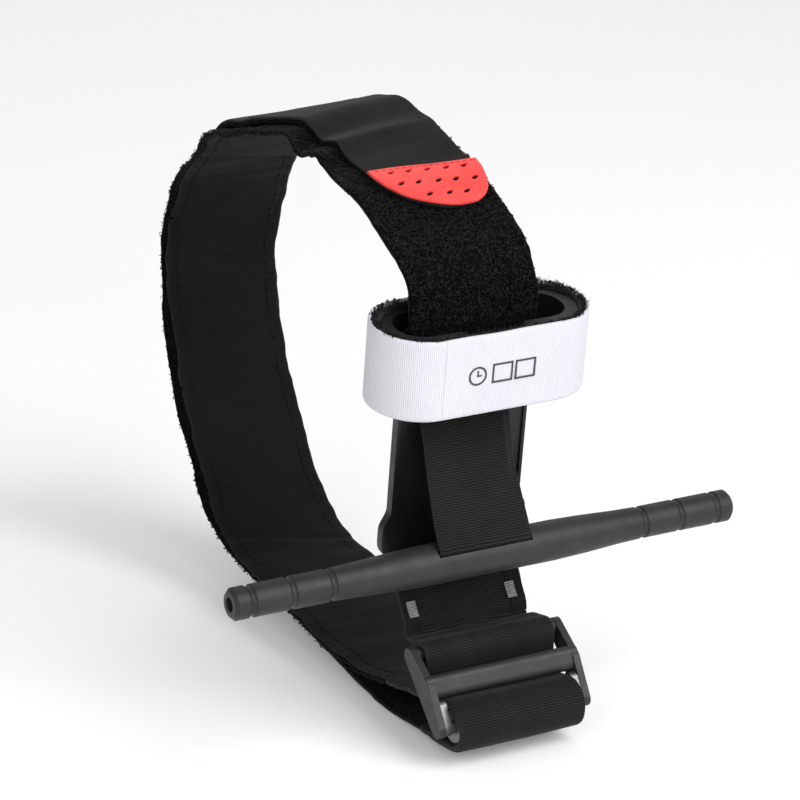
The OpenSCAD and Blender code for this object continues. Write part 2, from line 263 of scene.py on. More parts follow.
def strip(name, track, s, width, outer, inner, material, columns=38, shift=0.0, lift=None, stretch=1):
    """A strip of cloth along a track, between the offsets outer and inner on the track's left.

    Offsets and shift are numbers or functions of (length, x); lift moves both faces, and stretch
    is the length of the outer face for each millimetre of the track.
    """
    p, n = track.at(s)
    u = np.concatenate([[-1, -0.985], np.linspace(-0.955, 0.955, columns), [0.985, 1]])
    full = np.concatenate([[0.3, 0.8], np.ones(columns), [0.8, 0.3]])
    call = lambda f, x: f(s[:, None], x) if callable(f) else np.full_like(x, f)
    half = np.broadcast_to(np.asarray(width(s) if callable(width) else width) / 2, s.shape)
    x = half[:, None] * u[None, :]
    d_out, d_in = call(outer, x), call(inner, x)
    middle = (d_out + d_in) / 2 + (call(lift, x) if lift is not None else 0)
    thick = (d_out - d_in) / 2 * full
    move = call(shift, x)
    faces_at = []
    for d in (middle + thick, middle - thick):
        y = p[:, :1] + d * n[:, :1]
        z = p[:, 1:] + d * n[:, 1:]
        faces_at.append(np.stack([x + move, y, z], -1))
    verts, faces = grid_shell(*faces_at)
    cloth = np.stack(np.broadcast_arrays(x, stretch * s[:, None], u), -1)
    weave = np.concatenate([cloth.reshape(-1, 3)] * 2)
    return make_object(name, verts, faces, material, weave)


def threads(name, a, b, h, wire, material, sides=4, rings=6):
    """Arcs of thread from the points a to b that stand up by the vectors h."""
    a, b, h = (np.asarray(v, float) for v in (a, b, h))
    t = np.linspace(0, 1, rings)[None, :, None]
    centre = a[:, None] + (b - a)[:, None] * t + h[:, None] * np.sin(math.pi * t)
    tangent = (b - a)[:, None] + h[:, None] * math.pi * np.cos(math.pi * t)
    tangent /= np.linalg.norm(tangent, axis=2, keepdims=True)
    side = np.cross(b - a, h)
    side /= np.linalg.norm(side, axis=1, keepdims=True)
    side = np.broadcast_to(side[:, None], tangent.shape)
    up = np.cross(side, tangent)
    angle = 2 * math.pi * np.arange(sides) / sides
    around = side[:, :, None] * np.cos(angle)[None, None, :, None]
    around = around + up[:, :, None] * np.sin(angle)[None, None, :, None]
    verts = (centre[:, :, None] + wire * around).reshape(-1, 3)
    k = len(a)
    base = np.arange(k * rings * sides).reshape(k, rings, sides)
    nxt = np.roll(base, -1, axis=2)
    faces = np.stack([base[:, :-1], nxt[:, :-1], nxt[:, 1:], base[:, 1:]], -1).reshape(-1, 4)
    faces = [tuple(f) for f in faces]
    faces += [tuple(f) for f in base[:, 0, ::-1]] + [tuple(f) for f in base[:, -1]]
    return make_object(name, verts, faces, material)


# ---- Materials ----

class Paint:
    """A material's node tree, with short calls for the nodes that cloth and plastic need."""

    def __init__(self, name, roughness, specular=0.5, metallic=0.0, sheen=0.0):
        self.material = bpy.data.materials.new(name)
        self.material.use_nodes = True
        self.tree = self.material.node_tree
        self.shader = self.tree.nodes["Principled BSDF"]
        self.shader.inputs["Roughness"].default_value = roughness
        self.shader.inputs["Specular IOR Level"].default_value = specular
        self.shader.inputs["Metallic"].default_value = metallic
        self.shader.inputs["Sheen Weight"].default_value = sheen
        self.shader.inputs["Sheen Roughness"].default_value = 0.4

    def node(self, kind, **values):
        node = self.tree.nodes.new("ShaderNode" + kind)
        for key, value in values.items():
            setattr(node, key, value)
        return node

    def feed(self, socket, value):
        if isinstance(value, bpy.types.NodeSocket):
            self.tree.links.new(value, socket)
        else:
            socket.default_value = value

    def math(self, operation, a, b=0.0):
        node = self.node("Math", operation=operation)
        self.feed(node.inputs[0], a)
        self.feed(node.inputs[1], b)
        return node.outputs[0]

    def weave(self):
        """Cloth coordinates: millimetres across and along, and -1 to 1 from edge to edge."""
        parts = self.node("SeparateXYZ")
        attribute = self.node("Attribute", attribute_name="weave")
        self.tree.links.new(attribute.outputs["Vector"], parts.inputs[0])
        return parts.outputs[0], parts.outputs[1], parts.outputs[2]

    def place(self):
        """Coordinates in the row frame, in millimetres."""
        scale = self.node("VectorMath", operation="SCALE")
        self.tree.links.new(self.node("TexCoord").outputs["Object"], scale.inputs[0])
        scale.inputs["Scale"].default_value = 1 / MM
        return scale.outputs[0]

    def thread(self, coordinate, pitch):
        """A wave between 0 and 1 that repeats every pitch millimetres."""
        angle = self.math("MULTIPLY", coordinate, 2 * math.pi / pitch)
        return self.math("ADD", self.math("MULTIPLY", self.math("SINE", angle), 0.5), 0.5)

    def noise(self, size, detail=3.0, vector=None):
        """Noise with cells of that size in millimetres."""
        node = self.node("TexNoise")
        self.feed(node.inputs["Vector"], vector if vector is not None else self.place())
        node.inputs["Scale"].default_value = 1 / size
        node.inputs["Detail"].default_value = detail
        return node.outputs["Fac"]

    def colour(self, factor, *stops):
        """Colour ramp over factor; stops are (position, grey or colour)."""
        ramp_node = self.node("ValToRGB")
        elements = ramp_node.color_ramp.elements
        while len(elements) < len(stops):
            elements.new(0.5)
        for element, (position, shade) in zip(elements, stops):
            element.position = position
            element.color = (*(shade if hasattr(shade, "__len__") else (shade,) * 3), 1)
        self.feed(ramp_node.inputs[0], factor)
        return ramp_node.outputs[0]

    def mix(self, kind, a, b, factor=1.0):
        node = self.node("Mix", data_type="RGBA", blend_type=kind)
        self.feed(node.inputs[0], factor)
        self.feed(node.inputs[6], a)
        self.feed(node.inputs[7], b)
        return node.outputs[2]

    def base(self, colour):
        self.feed(self.shader.inputs["Base Color"], colour)

    def rough(self, value):
        self.feed(self.shader.inputs["Roughness"], value)

    def bump(self, height, depth, strength=1.0):
        """Adds height, from 0 to 1, as relief of that depth in millimetres."""
        node = self.node("Bump")
        node.inputs["Distance"].default_value = depth * MM
        node.inputs["Strength"].default_value = strength
        self.feed(node.inputs["Height"], height)
        normal = self.shader.inputs["Normal"]
        if normal.links:
            self.tree.links.new(normal.links[0].from_socket, node.inputs["Normal"])
        self.feed(normal, node.outputs["Normal"])


def grey(level, warm=0.0):
    """A grey with a slight warm or cool cast."""
    return (level * (1 + warm), level, level * (1 - warm))


def woven(name, dark, light, across, along, relief=0.08, yarns=0.35):
    """Weave with threads at the given pitches across and along the band; yarns is the first's share."""
    paint = Paint(name, roughness=0.8, specular=0.12, sheen=0.05)
    x, s, u = paint.weave()
    wobble = paint.math("MULTIPLY", paint.noise(2.5), 0.5)
    rib = paint.thread(paint.math("ADD", s, wobble), along)
    yarn = paint.math("MULTIPLY", paint.thread(x, across), yarns)
    cloth = paint.math("ADD", yarn, paint.math("MULTIPLY", rib, 1 - yarns))
    patches = paint.colour(paint.noise(14.0, 4.0), (0.3, 0.72), (0.7, 1.0))
    # Lighter where the weave stands up and darker where it dips: thread colour. On the webbing, whose
    # ribs are also shaped, this tone is set in phase with the ribs' lit and shaded sides, so there it is
    # partly painted light.
    shade = paint.colour(cloth, (0.1, dark), (0.9, light))
    edge = paint.colour(paint.math("ABSOLUTE", u), (0.955, 1.0), (1.0, 1.7))
    paint.base(paint.mix("MULTIPLY", paint.mix("MULTIPLY", shade, patches), edge))
    paint.bump(cloth, relief)
    paint.bump(paint.noise(0.35, 2.0), 0.05)
    return paint.material


def pile(name, dark, light, size, relief, specular=0.1, sheen=0.15):
    """Hook-and-loop pile: knotted little loops of that size."""
    paint = Paint(name, 0.9, specular, sheen=sheen)
    cells = paint.node("TexVoronoi", feature="SMOOTH_F1")
    warped = paint.node("VectorMath", operation="MULTIPLY_ADD")
    fuzz = paint.node("TexNoise")
    fuzz.inputs["Scale"].default_value = 1 / size
    paint.feed(fuzz.inputs["Vector"], paint.place())
    paint.feed(warped.inputs[0], fuzz.outputs["Color"])
    warped.inputs[1].default_value = (size * 0.8,) * 3
    paint.feed(warped.inputs[2], paint.place())
    paint.feed(cells.inputs["Vector"], warped.outputs[0])
    cells.inputs["Scale"].default_value = 1 / size
    height = paint.math("SUBTRACT", 1.0, cells.outputs["Distance"])
    paint.base(paint.colour(height, (0.25, dark), (0.95, light)))
    paint.bump(height, relief)
    paint.bump(paint.noise(size / 3, 3.0), relief / 3)
    return paint.material


def moulded(name, dark, light, roughness, grain, relief, specular=0.5):
    """Moulded plastic: even colour, fine grain and slightly uneven gloss."""
    paint = Paint(name, roughness, specular)
    paint.base(paint.colour(paint.noise(9.0, 4.0), (0.3, dark), (0.7, light)))
    gloss = paint.colour(paint.noise(3.0, 5.0), (0.3, roughness - 0.07), (0.7, roughness + 0.07))
    paint.rough(gloss)
    paint.bump(paint.noise(grain, 3.0), relief)
    return paint.material


def plain_thread(name, dark, light, specular=0.2):
    paint = Paint(name, 0.7, specular, sheen=0.1)
    paint.base(paint.colour(paint.noise(1.2), (0.3, dark), (0.7, light)))
    paint.bump(paint.thread(paint.noise(0.5), 0.2), 0.03)
    return paint.material


def lining_material():
    paint = Paint("lining", 0.72, 0.1, sheen=0.04)
    x, s, u = paint.weave()
    wobble = paint.math("MULTIPLY", paint.noise(3.0), 0.7)
    rib = paint.thread(paint.math("ADD", s, wobble), 0.85)
    yarn = paint.thread(x, 0.5)
    edge = paint.colour(paint.math("ABSOLUTE", u), (0.93, 1.0), (0.975, 1.5), (1.0, 3.0))
    tone = paint.colour(paint.noise(22.0, 4.0), (0.3, 0.8), (0.7, 1.15))
    weave = paint.colour(rib, (0.0, grey(0.0042, 0.04)), (1.0, grey(0.0078, 0.04)))
    paint.base(paint.mix("MULTIPLY", paint.mix("MULTIPLY", weave, tone), edge))
    paint.bump(rib, 0.07)
    paint.bump(yarn, 0.03)
    paint.bump(paint.noise(0.4, 2.0), 0.04)
    return paint.material


def strap_material():
    paint = Paint("strap_white", 0.75, 0.2, sheen=0.1)
    x, s, _ = paint.weave()
    rib = paint.thread(paint.math("ADD", x, paint.math("MULTIPLY", paint.noise(2.0), 0.25)), 0.55)
    yarn = paint.thread(s, 0.3)
    ribs_tone = paint.colour(rib, (0.0, (0.57, 0.57, 0.61)), (0.6, (0.71, 0.71, 0.76)))
    patches = paint.colour(paint.noise(16.0), (0.3, 0.96), (0.7, 1.0))
    paint.base(paint.mix("MULTIPLY", ribs_tone, patches))
    paint.bump(rib, 0.10)
    paint.bump(yarn, 0.02)
    return paint.material


def tip_material():
    paint = Paint("tip_red", 0.5, 0.35)
    base = paint.colour(paint.noise(5.0, 4.0), (0.3, (0.80, 0.055, 0.048)), (0.7, (0.90, 0.075, 0.065)))
    paint.base(base)
    paint.bump(paint.noise(0.5, 3.0), 0.05)
    paint.bump(paint.noise(4.0, 2.0), 0.15)
    return paint.material


def steel_material():
    paint = Paint("buckle_metal", 0.42, 0.5, metallic=1.0)
    paint.base(paint.colour(paint.noise(3.0, 4.0), (0.3, grey(0.17, 0.01)), (0.7, grey(0.24, 0.01))))
    streaks = paint.node("TexNoise")
    mapping = paint.node("Mapping")
    mapping.inputs["Scale"].default_value = (0.3, 6.0, 6.0)
    paint.feed(mapping.inputs["Vector"], paint.place())
    paint.feed(streaks.inputs["Vector"], mapping.outputs[0])
    streaks.inputs["Scale"].default_value = 1.0
    paint.rough(paint.colour(streaks.outputs["Fac"], (0.3, 0.34), (0.7, 0.5)))
    paint.bump(streaks.outputs["Fac"], 0.02)
    return paint.material


MATERIALS = {
    "lining": lining_material(),
    "cover": woven("cover", grey(0.009, 0.04), grey(0.0165, 0.04), 0.45, 0.6, relief=0.04),
    "tape": pile("tape", 0.0003, 0.0045, 0.9, 0.6, specular=0.05, sheen=0.04),
    # The pile loops are the tape's own black fibres, painted lighter than the tape: painted sheen on the
    # loops.
    "loops": plain_thread("tape_loops_painted_sheen", grey(0.003), grey(0.018), specular=0.1),
    # The webbing's rib tone is partly thread colour and partly painted light on its shaped ribs.
    "webbing": woven("webbing", grey(0.0045, 0.03), grey(0.021, 0.03), 0.6, RIB,
                     relief=0.05, yarns=0.12),
    "binding": woven("binding", grey(0.007, 0.03), grey(0.014, 0.03), 0.5, 0.7),
    "rod": moulded("rod_plastic", grey(0.0155, -0.03), grey(0.0215, -0.03), 0.5,
                   grain=0.30, relief=0.04, specular=0.38),
    "black": moulded("black_plastic", grey(0.005, -0.04), grey(0.007, -0.04), 0.4,
                     grain=0.5, relief=0.02, specular=0.4),
    "buckle": moulded("buckle_plastic", grey(0.018), grey(0.024), 0.46,
                      grain=0.4, relief=0.03, specular=0.4),
    # The clip is the same black plastic, painted darker: painted shade for where it sits inside the
    # strap.
    "clip": moulded("clip_plastic_painted_shade", grey(0.003, -0.04), grey(0.0045, -0.04), 0.5,
                    grain=0.5, relief=0.02, specular=0.3),
    "steel": steel_material(),
    "grey_thread": plain_thread("thread_grey", grey(0.22, 0.02), grey(0.36, 0.02)),
    "black_thread": plain_thread("thread_black", grey(0.004), grey(0.008), specular=0.1),
    "red_thread": plain_thread("thread_red", (0.42, 0.03, 0.025), (0.60, 0.05, 0.04)),
    "tip": tip_material(),
    "strap": strap_material(),
    "hook": pile("strap_black", 0.004, 0.014, 0.5, 0.3),
    "fringe": plain_thread("strap_fringe", grey(0.70, -0.02), grey(0.85, -0.02)),
    "print": plain_thread("strap_print", grey(0.055, -0.02), grey(0.075, -0.02)),
}


# ---- Shape of the band as a whole ----

def turn_of(track, s):
    """Direction of the points of a track seen from the loop's centre, in degrees from +Y."""
    y, z = (track.at(np.ravel(s))[0] - LOOP_CENTRE).T
    return np.degrees(np.arctan2(z, y)).reshape(np.shape(s))


def nearness(x):
    """Grows from a quarter at the band's right edge to 1 at its left edge."""
    return 0.25 + 0.75 * (BAND_W / 2 - x) / BAND_W


def sway(track):
    """How the whole band waves and leans: the same for all layers at one place."""
    def offset(s, x):
        a = turn_of(track, s)
        free = ramp(a, 148, 132) * ramp(a, -133, -116)
        tilt = (1.8 * x + 0.9 * np.minimum(x, 0)) / (BAND_W / 2) * bell(a, 97, 36)
        wave = 0.55 * waves(a, x, 11, 30, 3) + 0.25 * waves(a, x, 5, 12, 4)
        fold = sum(height * bell(a, turn, width) for height, turn, width in BAND_FOLDS)
        return free * (tilt + wave + fold * nearness(x))
    return offset


def apart(track):
    """How far the outer layer stands off the inner one."""
    def offset(s, x):
        a = turn_of(track, s)
        top = 0.6 * bell(a, 78, 26) * (0.55 + 0.45 * waves(a, x, 6, 25, 9))
        under = 1.6 * bell(a, -113, 7)
        back = 0.5 * bell(a, 0, 50) * (0.5 + 0.5 * waves(a, x, 9, 30, 10))
        return nearness(x) * (top + under + back)
    return offset


def edge_wave(seed, amount=0.35):
    """Sideways wander of a strip's edges."""
    return lambda s, x: amount * (waves(s, x, 7, 40, seed) + 0.4 * waves(s, x, 2.5, 25, seed + 1))


def stray(a):
    """How far the band lies to the left near its top."""
    return -2.4 * bell(a, 58, 18)


def drift_of(track, origin=0.0):
    """Sideways drift of the free end, which grows as it climbs; origin is the peel line."""
    def offset(s, x):
        z = track.at(np.ravel(s))[0][:, 1].reshape(np.shape(s))
        height = z - LOOP_UNDER[1]
        drift = height * math.tan(DRIFT) + stray(turn_of(track, s))
        return drift + edge_wave(21, 0.3)(s - origin, x)
    return offset


def cover_waves(s, x):
    """Soft waves of the smooth cover; s counts from the peel line."""
    return 0.18 * waves(s, x, 10, 30, 61) + 0.08 * waves(s, x, 3, 20, 62)


def total(*parts):
    return lambda s, x: sum(p(s, x) if callable(p) else p for p in parts)


TAPE_START = plate_point(50, -TAPE_T - 1.8)
LINING_JOIN = tuple(np.array(TAPE_START) + 0.54 * (np.array(LOOP_FRONT_TOP[:2]) - TAPE_START))
FOLD_IN = touching(LOOP_UNDER, BAR_FOLD, FOLD_R)
LOOP_END = tuple(np.array(LOOP_UNDER[:2]) + 24 * unit(FOLD_IN))
FOLD_FOOT = tuple(BAR_FOLD - (0, FOLD_R))
FOLD_OUT = 2 * math.pi + heading(FOLD_FOOT, RUN_UNDER)
RUN_START = on_line(FOLD_FOOT, RUN_UNDER, 4)
PEEL = on_line(LOOP_SHOULDER, LOOP_CROWN, PEEL_Y)
TAIL_END = on_line(LOOP_SHOULDER, LOOP_FRONT_TOP, TAIL_END_Y)

inner_track = Track([TAPE_START, LOOP_FRONT_TOP, *AROUND, LOOP_UNDER, LOOP_END])
lining_track = Track([LINING_JOIN, LOOP_FRONT_TOP, *AROUND, LOOP_UNDER, LOOP_END])
behind_track = Track([(15.0, -20.8), (*plate_point(-7, 2.15), 10), (*plate_point(60.4, 2.15), 4),
                      LINING_JOIN])
run_track = Track([PEEL, *AROUND[1:], RUN_UNDER, RUN_START])
tail_track = Track([TAIL_END, LOOP_SHOULDER, PEEL])
fold_track = Track([LOOP_END, *round_bar(BAR_FOLD, FOLD_R, FOLD_IN, FOLD_OUT), RUN_START])


def spaced(track, step, start=0.0, end=None):
    end = track.length if end is None else end
    return np.linspace(start, end, max(2, round((end - start) / step) + 1))


def fuzz(amount, seed):
    """Lumpy surface of the pile."""
    return lambda s, x: amount * (waves(s, x, 1.1, 1.0, seed) + 0.4 * waves(s, x, 2.8, 2.2, seed + 1))


def bare_edge(track):
    """Width of the tape that the lining leaves bare along its left edge."""
    def width(s):
        a = turn_of(track, s)
        wide = ramp(a, -75, -40) * ramp(a, 118, 100)
        top = 1.6 * bell(a, 84, 16)
        torn = 0.8 * waves(s, 0 * s, 13, 1, 17) + 0.5 * waves(s, 0 * s, 4, 1, 18)
        return 0.4 + wide * (1.7 + top + torn)
    return width


def side_wave(track):
    """Sideways stray of the inner layer, and the waves of its right edge."""
    def offset(s, x):
        a = turn_of(track, s)
        free = ramp(a, -80, -50) * ramp(a, 96, 84)
        edge = 0.9 * waves(s, 0 * x, 16, 1, 19) + 0.35 * waves(s, 0 * x, 5, 1, 20)
        return stray(a) + free * ramp(x, -5, 19) * edge
    return offset


INNER_SHIFT = total(edge_wave(11), side_wave(inner_track))


def tape_piece():
    """Fuzzy outer tape of the inner layer, with a fine grid where it shows in front."""
    shown = inner_track.where(lambda y, z: y > 45)
    s = np.concatenate([spaced(inner_track, 0.5, 0, shown)[:-1], spaced(inner_track, 1.1, shown)])
    bumps = fuzz(0.35, 33)
    back = lambda s, x: -TAPE_T - (0.2 + np.abs(bumps(s, x))) * ramp(x, -15.2, -16.4)
    obj = strip("tape_inner", inner_track, s, BAND_W, fuzz(0.42, 31), back, MATERIALS["tape"],
                columns=64, shift=INNER_SHIFT, lift=sway(inner_track))
    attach(obj, "band")
    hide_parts("loop_tape")


LINING_SHIFT = total(edge_wave(13, 0.4), side_wave(lining_track))


def lining_pieces():
    def creases(s, x):
        a = turn_of(lining_track, s)
        lines = sum(0.5 * bell(a + 0.25 * x, crease, 1.3) for crease in CREASES)
        return 0.22 * waves(s, x, 9, 40, 51) + 0.12 * waves(s, x, 2.6, 50, 52) - lines

    puckers = lambda s, x: -0.16 * bell(np.abs(x), STITCH_X, 0.5)
    s = spaced(lining_track, 0.8)
    bare = bare_edge(lining_track)
    narrowed = lambda s: BAND_W + 0.4 - bare(s)
    shift = total(LINING_SHIFT, lambda s, x: bare(s) / 2)
    inside = lambda s, x: -LAYER_T - creases(s, x) - puckers(s, x)
    obj = strip("lining_loop", lining_track, s, narrowed, -TAPE_T, inside, MATERIALS["lining"],
                columns=60, shift=shift, lift=sway(lining_track))
    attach(obj, "band")
    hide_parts("loop_lining")
    s = spaced(behind_track, 0.8)
    soft = lambda s, x: -LINING_T - 0.2 * waves(s, x, 9, 40, 53)
    tucked = lambda s: BAND_W + 0.4 - 4.5 * ramp(s, 14, 4)
    back = strip("lining_front", behind_track, s, tucked, 0.0, soft, MATERIALS["lining"],
                 shift=edge_wave(15, 0.2))
    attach(back, "band")


def surface_points(track, s, x, d, shift, lift):
    """Points at offset d from a track that follow the same waves as its strips."""
    p, n = track.at(s)
    off = d + lift(s, x)
    return np.stack([x + shift(s, x), p[:, 0] + off * n[:, 0], p[:, 1] + off * n[:, 1]], -1)


def standing(track, s, tall, aside=0.0):
    """Vectors that stand off a track's left side at the lengths s, and lean aside."""
    _, n = track.at(s)
    return tall * np.stack([np.zeros(len(s)) + aside, n[:, 0], n[:, 1]], -1)


def stitching_piece():
    """Two rows of lock stitches along the lining."""
    pitch, length = 3.0, 2.2
    row = np.arange(2, lining_track.length - 3, pitch)
    s = np.concatenate([row, row])
    x = np.repeat((-STITCH_X, STITCH_X), len(row))
    bare = bare_edge(lining_track)
    lift, shift = sway(lining_track), total(LINING_SHIFT, lambda s, x: bare(s) * (x < 0))
    a = surface_points(lining_track, s, x, -LAYER_T, shift, lift)
    b = surface_points(lining_track, s + length, x, -LAYER_T, shift, lift)
    h = standing(lining_track, s, -0.28)
    obj = threads("lining_stitches", a, b, h, 0.16, MATERIALS["black_thread"], sides=5, rings=5)
    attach(obj, "band")
    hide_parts("edge_stitching")


def pile_piece():
    """Loops of the pile that stand up on the tape, on its front and along its edges."""
    shown = inner_track.where(lambda y, z: y > 50)
    on_front, on_edges = 3400, 1800
    front = rng.uniform(14, shown, on_front), rng.uniform(-18.8, 18.8, on_front)
    side = np.where(rng.random(on_edges) < 0.6, -1, 1) * rng.uniform(17.2, 18.95, on_edges)
    edge = rng.uniform(shown - 10, inner_track.length - 2, on_edges), side
    s, x = np.concatenate([front, edge], axis=1)
    k = len(s)
    lift = sway(inner_track)
    turn = rng.uniform(0, 2 * math.pi, k)
    span = rng.uniform(0.3, 0.6, k)
    along, across = span * np.sin(turn), span * np.cos(turn)
    a = surface_points(inner_track, s - along, x - across, 0.0, INNER_SHIFT, lift)
    b = surface_points(inner_track, s + along, x + across, 0.0, INNER_SHIFT, lift)
    tall = rng.uniform(0.15, 0.5, k)
    h = standing(inner_track, s, tall[:, None], rng.uniform(-0.7, 0.7, k))
    # The loops take the lighter thread colour, which is painted sheen.
    obj = threads("tape_pile", a, b, h, 0.115, MATERIALS["loops"], sides=4, rings=5)
    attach(obj, "band")


def run_width(s):
    """The free end narrows a little from the buckle to the tail."""
    return TAIL_W + 1.6 * ramp(s, 0, 60) + 2.6 * ramp(s, 140, run_track.length)


def run_pieces():
    s = spaced(run_track, 1.0)
    lift = total(sway(run_track), apart(run_track))
    tape = strip("tape_run", run_track, s, run_width, GAP + TAPE_T, total(GAP, fuzz(-0.15, 41)),
                 MATERIALS["tape"], columns=44, shift=drift_of(run_track), lift=lift)
    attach(tape, "band")
    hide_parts("run_tape")
    cover = strip("cover_run", run_track, s, run_width, total(GAP + LAYER_T, cover_waves), GAP + TAPE_T,
                  MATERIALS["cover"], columns=44, shift=drift_of(run_track), lift=lift)
    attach(cover, "band")
    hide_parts("run_cover")


def tongue_width(inset):
    """Width of the tail along its length: an ellipse at the end."""
    def width(s):
        t = np.clip((s - inset) / TIP_L, 0, 1)
        narrow = 2 * inset * ramp(s, TIP_L + 12, TIP_L)
        return (TAIL_W - narrow) * np.sqrt(np.maximum(1 - (1 - t) ** 2, 2e-3))
    return width


def tongue_lean(s, x):
    """Sideways lean of the tail's end, to one side."""
    return TIP_LEAN * (1 - np.clip(s / TIP_L, 0, 1)) ** 2


def bend_tail(obj):
    """Bakes a tail piece's placement into its mesh."""
    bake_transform(obj)


TAIL_LIFT = total(sway(tail_track), apart(tail_track))
TAIL_SHIFT = drift_of(tail_track, tail_track.length)


def tail_pieces():
    fine = TIP_L * (1 - np.cos(np.linspace(0, math.pi / 2, 30)))
    s = np.concatenate([0.65 + fine, spaced(tail_track, 0.9, TIP_L + 1.4)])
    shift = total(TAIL_SHIFT, tongue_lean)
    tape = strip("tape_tail", tail_track, s, tongue_width(0.6), GAP + TAPE_T, GAP,
                 MATERIALS["tape"], shift=shift, lift=TAIL_LIFT)
    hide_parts("tail_tape")
    pitch = 6.2
    dents = lambda s, x: -0.10 * bell(s % pitch, 3.1, 0.9) * bell((x + 31) % pitch, 3.1, 0.9)
    soft = lambda s, x: cover_waves(s - tail_track.length, x) + dents(s, x) * ramp(s, 34, 24)
    cover = strip("cover_tail", tail_track, s, tongue_width(0.15), total(GAP + LAYER_T, soft),
                  GAP + TAPE_T, MATERIALS["cover"], columns=60, shift=shift, lift=TAIL_LIFT)
    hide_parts("tail_cover")
    for obj in (tape, cover):
        bend_tail(obj)


TIP_HALF = TAIL_W / 2 + 0.1
TIP_SLOPE = math.tan(TIP_SKEW)
TIP_ROUND = 0.22


def tip_outline():
    """Outline of the flat tip: a leaning half ellipse below a slanting upper edge."""
    points = [(-TIP_HALF, TIP_L - TIP_SLOPE * TIP_HALF)]
    end = math.pi + math.asin(TIP_SLOPE * TIP_HALF / TIP_L)
    steps = 60
    for i in range(steps + 1):
        a = end * i / steps
        across = TIP_LEAN * math.sin(a) ** 2 - TIP_HALF * math.cos(a)
        points.append((across, TIP_L - TIP_L * math.sin(a)))
    return points


def tip_holes():
    """Outlines of the punched holes: slanting ovals in three rows, the last one shorter."""
    pitch, row_pitch, first_row = 5.2, 5.0, 2.5
    half_long, half_wide, slant, steps = 1.4, 0.85, 0.5, 14
    holes = []
    for row, aside in enumerate((0.2, 0.6, 1.4)):
        reach = 1 if row == 2 else 2
        for i in range(-reach, reach + 1):
            cx = i * pitch + aside + 0.2 * math.sin(9 * i + row)
            cy = TIP_L - first_row - row_pitch * row + TIP_SLOPE * cx
            hole = []
            for k in range(steps):
                a = -2 * math.pi * k / steps
                px, py = half_long * math.cos(a), half_wide * math.sin(a)
                hole.append((cx + px * math.cos(slant) - py * math.sin(slant),
                             cy + px * math.sin(slant) + py * math.cos(slant)))
            holes.append(hole)
    return holes


def flat_tip():
    """Mesh of the tip laid out flat with its holes, rounded at the edge."""
    curve = bpy.data.curves.new("tip_outline", "CURVE")
    curve.dimensions = "2D"
    curve.fill_mode = "BOTH"
    curve.extrude = TIP_T / 2 - TIP_ROUND
    curve.bevel_depth = TIP_ROUND
    curve.bevel_resolution = 2
    for points in (tip_outline(), *tip_holes()):
        spline = curve.splines.new("POLY")
        spline.points.add(len(points) - 1)
        for point, (x, y) in zip(spline.points, points):
            point.co = (x, y, 0, 1)
        spline.use_cyclic_u = True
    flat = bpy.data.objects.new("tip_flat", curve)
    link(flat)
    bpy.context.view_layer.update()
    mesh = bpy.data.meshes.new_from_object(flat)
    bpy.data.objects.remove(flat)
    return mesh


def cut_up(mesh):
    """Cuts a flat mesh along a grid, so that it can follow a curved surface."""
    bm = bmesh.new()
    bm.from_mesh(mesh)
    bmesh.ops.remove_doubles(bm, verts=bm.verts, dist=1e-4)
    cuts = [((0, y, 0), (0, 1, 0)) for y in np.arange(0.5, TIP_L + 2, 0.8)]
    cuts += [((x, 0, 0), (1, 0, 0)) for x in np.arange(-16, 17, 2.0)]
    for point, normal in cuts:
        geometry = bm.verts[:] + bm.edges[:] + bm.faces[:]
        bmesh.ops.bisect_plane(bm, geom=geometry, plane_co=point, plane_no=normal)
    bmesh.ops.recalc_face_normals(bm, faces=bm.faces)
    bm.to_mesh(mesh)
    bm.free()


def tip_piece():
    """The red tip, cut out flat, then laid on the tail."""
    mesh = flat_tip()
    cut_up(mesh)
    x, s, up = np.array([v.co for v in mesh.vertices]).reshape(-1, 3).T
    crown = 0.12 * waves(s, x, 6, 7, 71)
    d = GAP + LAYER_T + 0.12 + TIP_T / 2 + up + crown
    points = surface_points(tail_track, np.clip(s, 0, None), x, d, TAIL_SHIFT, TAIL_LIFT)
    mesh.vertices.foreach_set("co", (points * MM).ravel())
    mesh.update()
    mesh.shade_smooth()
    mesh.materials.clear()
    mesh.materials.append(MATERIALS["tip"])
    obj = bpy.data.objects.new("tip_pull", mesh)
    link(obj)
    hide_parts("red_tip")
    bend_tail(obj)


def tip_seam_piece():
    """Lock stitches along the red tip's upper edge."""
    pitch, length, inset = 1.9, 1.4, 0.9
    x = np.arange(-TAIL_W / 2 + 1.2, TAIL_W / 2 - 1.5, pitch)
    top = GAP + LAYER_T + TIP_T + 0.1
    a, b = (surface_points(tail_track, TIP_L - inset + TIP_SLOPE * ends, ends, top,
                           TAIL_SHIFT, TAIL_LIFT) for ends in (x, x + length))
    h = standing(tail_track, np.full_like(x, TIP_L), 0.14)
    obj = threads("tip_stitches", a, b, h, 0.13, MATERIALS["red_thread"], sides=5, rings=5)
    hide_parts("tip_seam")
    bend_tail(obj)


def fold_piece():
    """The band where it runs through the buckle and round the lower bar."""
    s = spaced(fold_track, RIB / 8)
    end = fold_track.length
    a, b = fold_track.where(lambda y, z: y < 4), end - 6
    stretch = (FOLD_R + LAYER_T) / FOLD_R
    ribbed = lambda s, x: -0.05 * ribs(s * stretch) * ramp(s, a, a + 5) * ramp(s, b, b - 5)
    soft = lambda s, x: -0.25 * waves(s, x, 9, 16, 81) * ramp(s, 3, 12) * ramp(s, end - 3, b - 8)
    width = lambda s: BAND_W - 1.4 * ramp(s, end - 14, end)
    obj = strip("fold_roll", fold_track, s, width, 0.0, total(-LAYER_T, ribbed, soft),
                MATERIALS["webbing"], columns=44, shift=edge_wave(83, 0.35), stretch=stretch)
    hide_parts("band_fold")
    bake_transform(obj)


# ---- Front webbing ----

anchor_track = Track([ANCHOR_TOP, ANCHOR_KNEE, *ANCHOR_LOOP])


